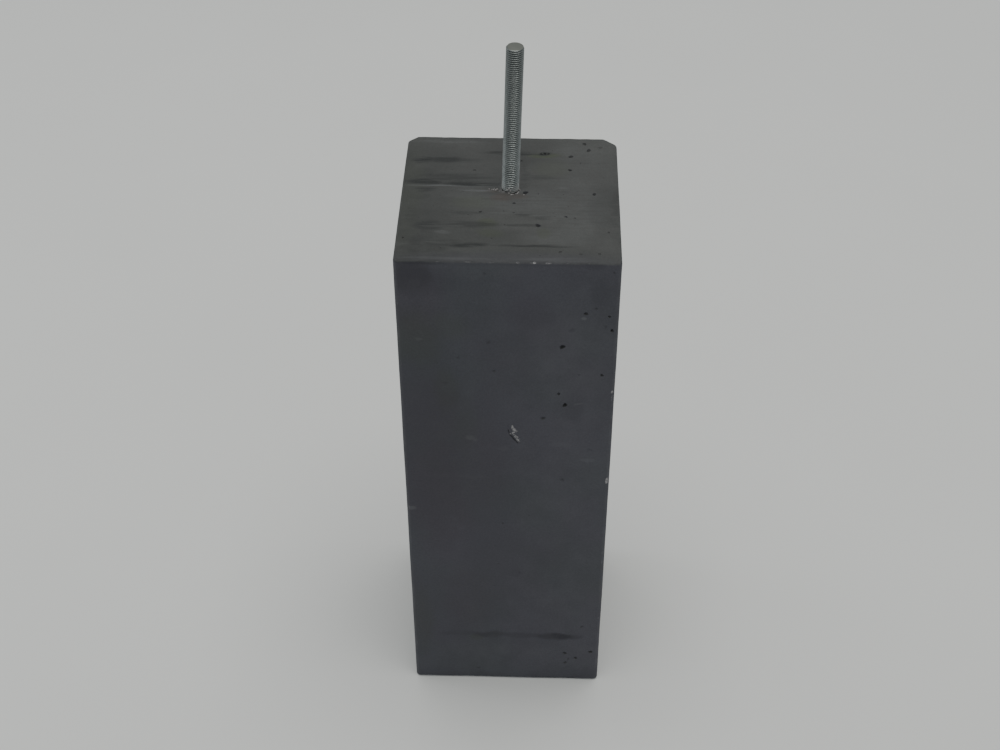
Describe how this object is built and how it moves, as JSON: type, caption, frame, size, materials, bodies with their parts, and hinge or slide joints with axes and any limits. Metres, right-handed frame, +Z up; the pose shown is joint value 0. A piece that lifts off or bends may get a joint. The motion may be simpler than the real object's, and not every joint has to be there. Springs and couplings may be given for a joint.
{
  "type": "concrete column base block",
  "caption": "Cast concrete post footing with a threaded rod set upright in its top for bolting on a post shoe.",
  "frame": {"origin": "centre of the underside", "axes": "+Z up along the block's height, -Y out of the trowelled front face, +X to the right seen from the front"},
  "size_m": [0.2, 0.2, 0.7211],
  "materials": {
    "concrete": "smooth cast anthracite concrete with pores, trowel streaks and chipped rims",
    "zinc_plated_steel": "dull bright zinc plating, rust-stained at the foot"
  },
  "bodies": {
    "root": {"block": "concrete", "threaded_rod": "zinc_plated_steel"}
  },
  "joints": []
}
